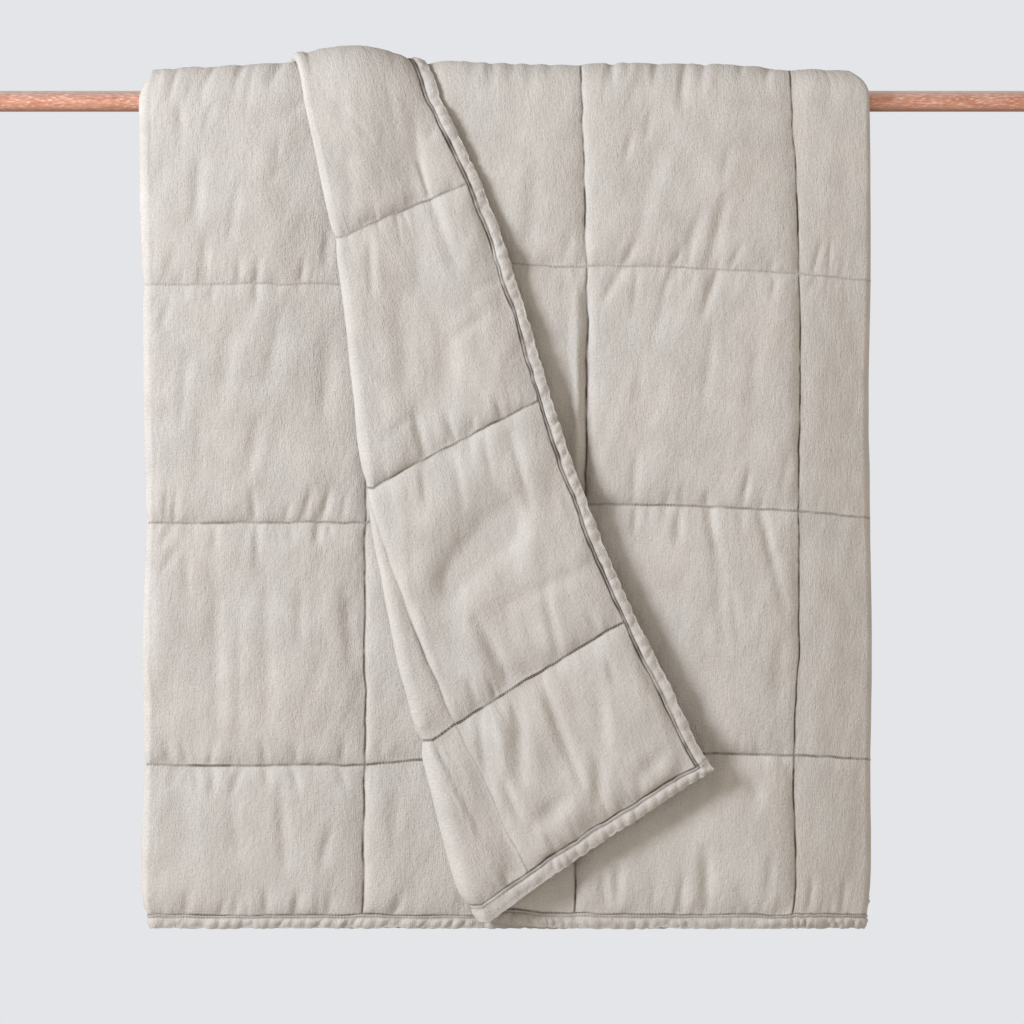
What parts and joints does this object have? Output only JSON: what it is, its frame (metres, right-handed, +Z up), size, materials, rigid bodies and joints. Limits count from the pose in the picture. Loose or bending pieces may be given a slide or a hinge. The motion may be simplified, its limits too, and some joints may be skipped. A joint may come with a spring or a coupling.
{
  "type": "linen quilt on a copper rod",
  "caption": "Box-stitched linen quilt folded lengthwise and hung over a plain round copper rod, its front corner turned over.",
  "frame": {"origin": "on the rod's axis, midway between the folded quilt's two sides", "axes": "+X along the rod to the right as seen from the front, -Y towards the viewer, +Z up"},
  "size_m": [1.2, 0.1205, 0.9353],
  "materials": {
    "linen": "stonewashed, matte",
    "copper": "brushed copper"
  },
  "bodies": {
    "root": {"quilt": "linen", "copper_rod": "copper"}
  },
  "joints": []
}
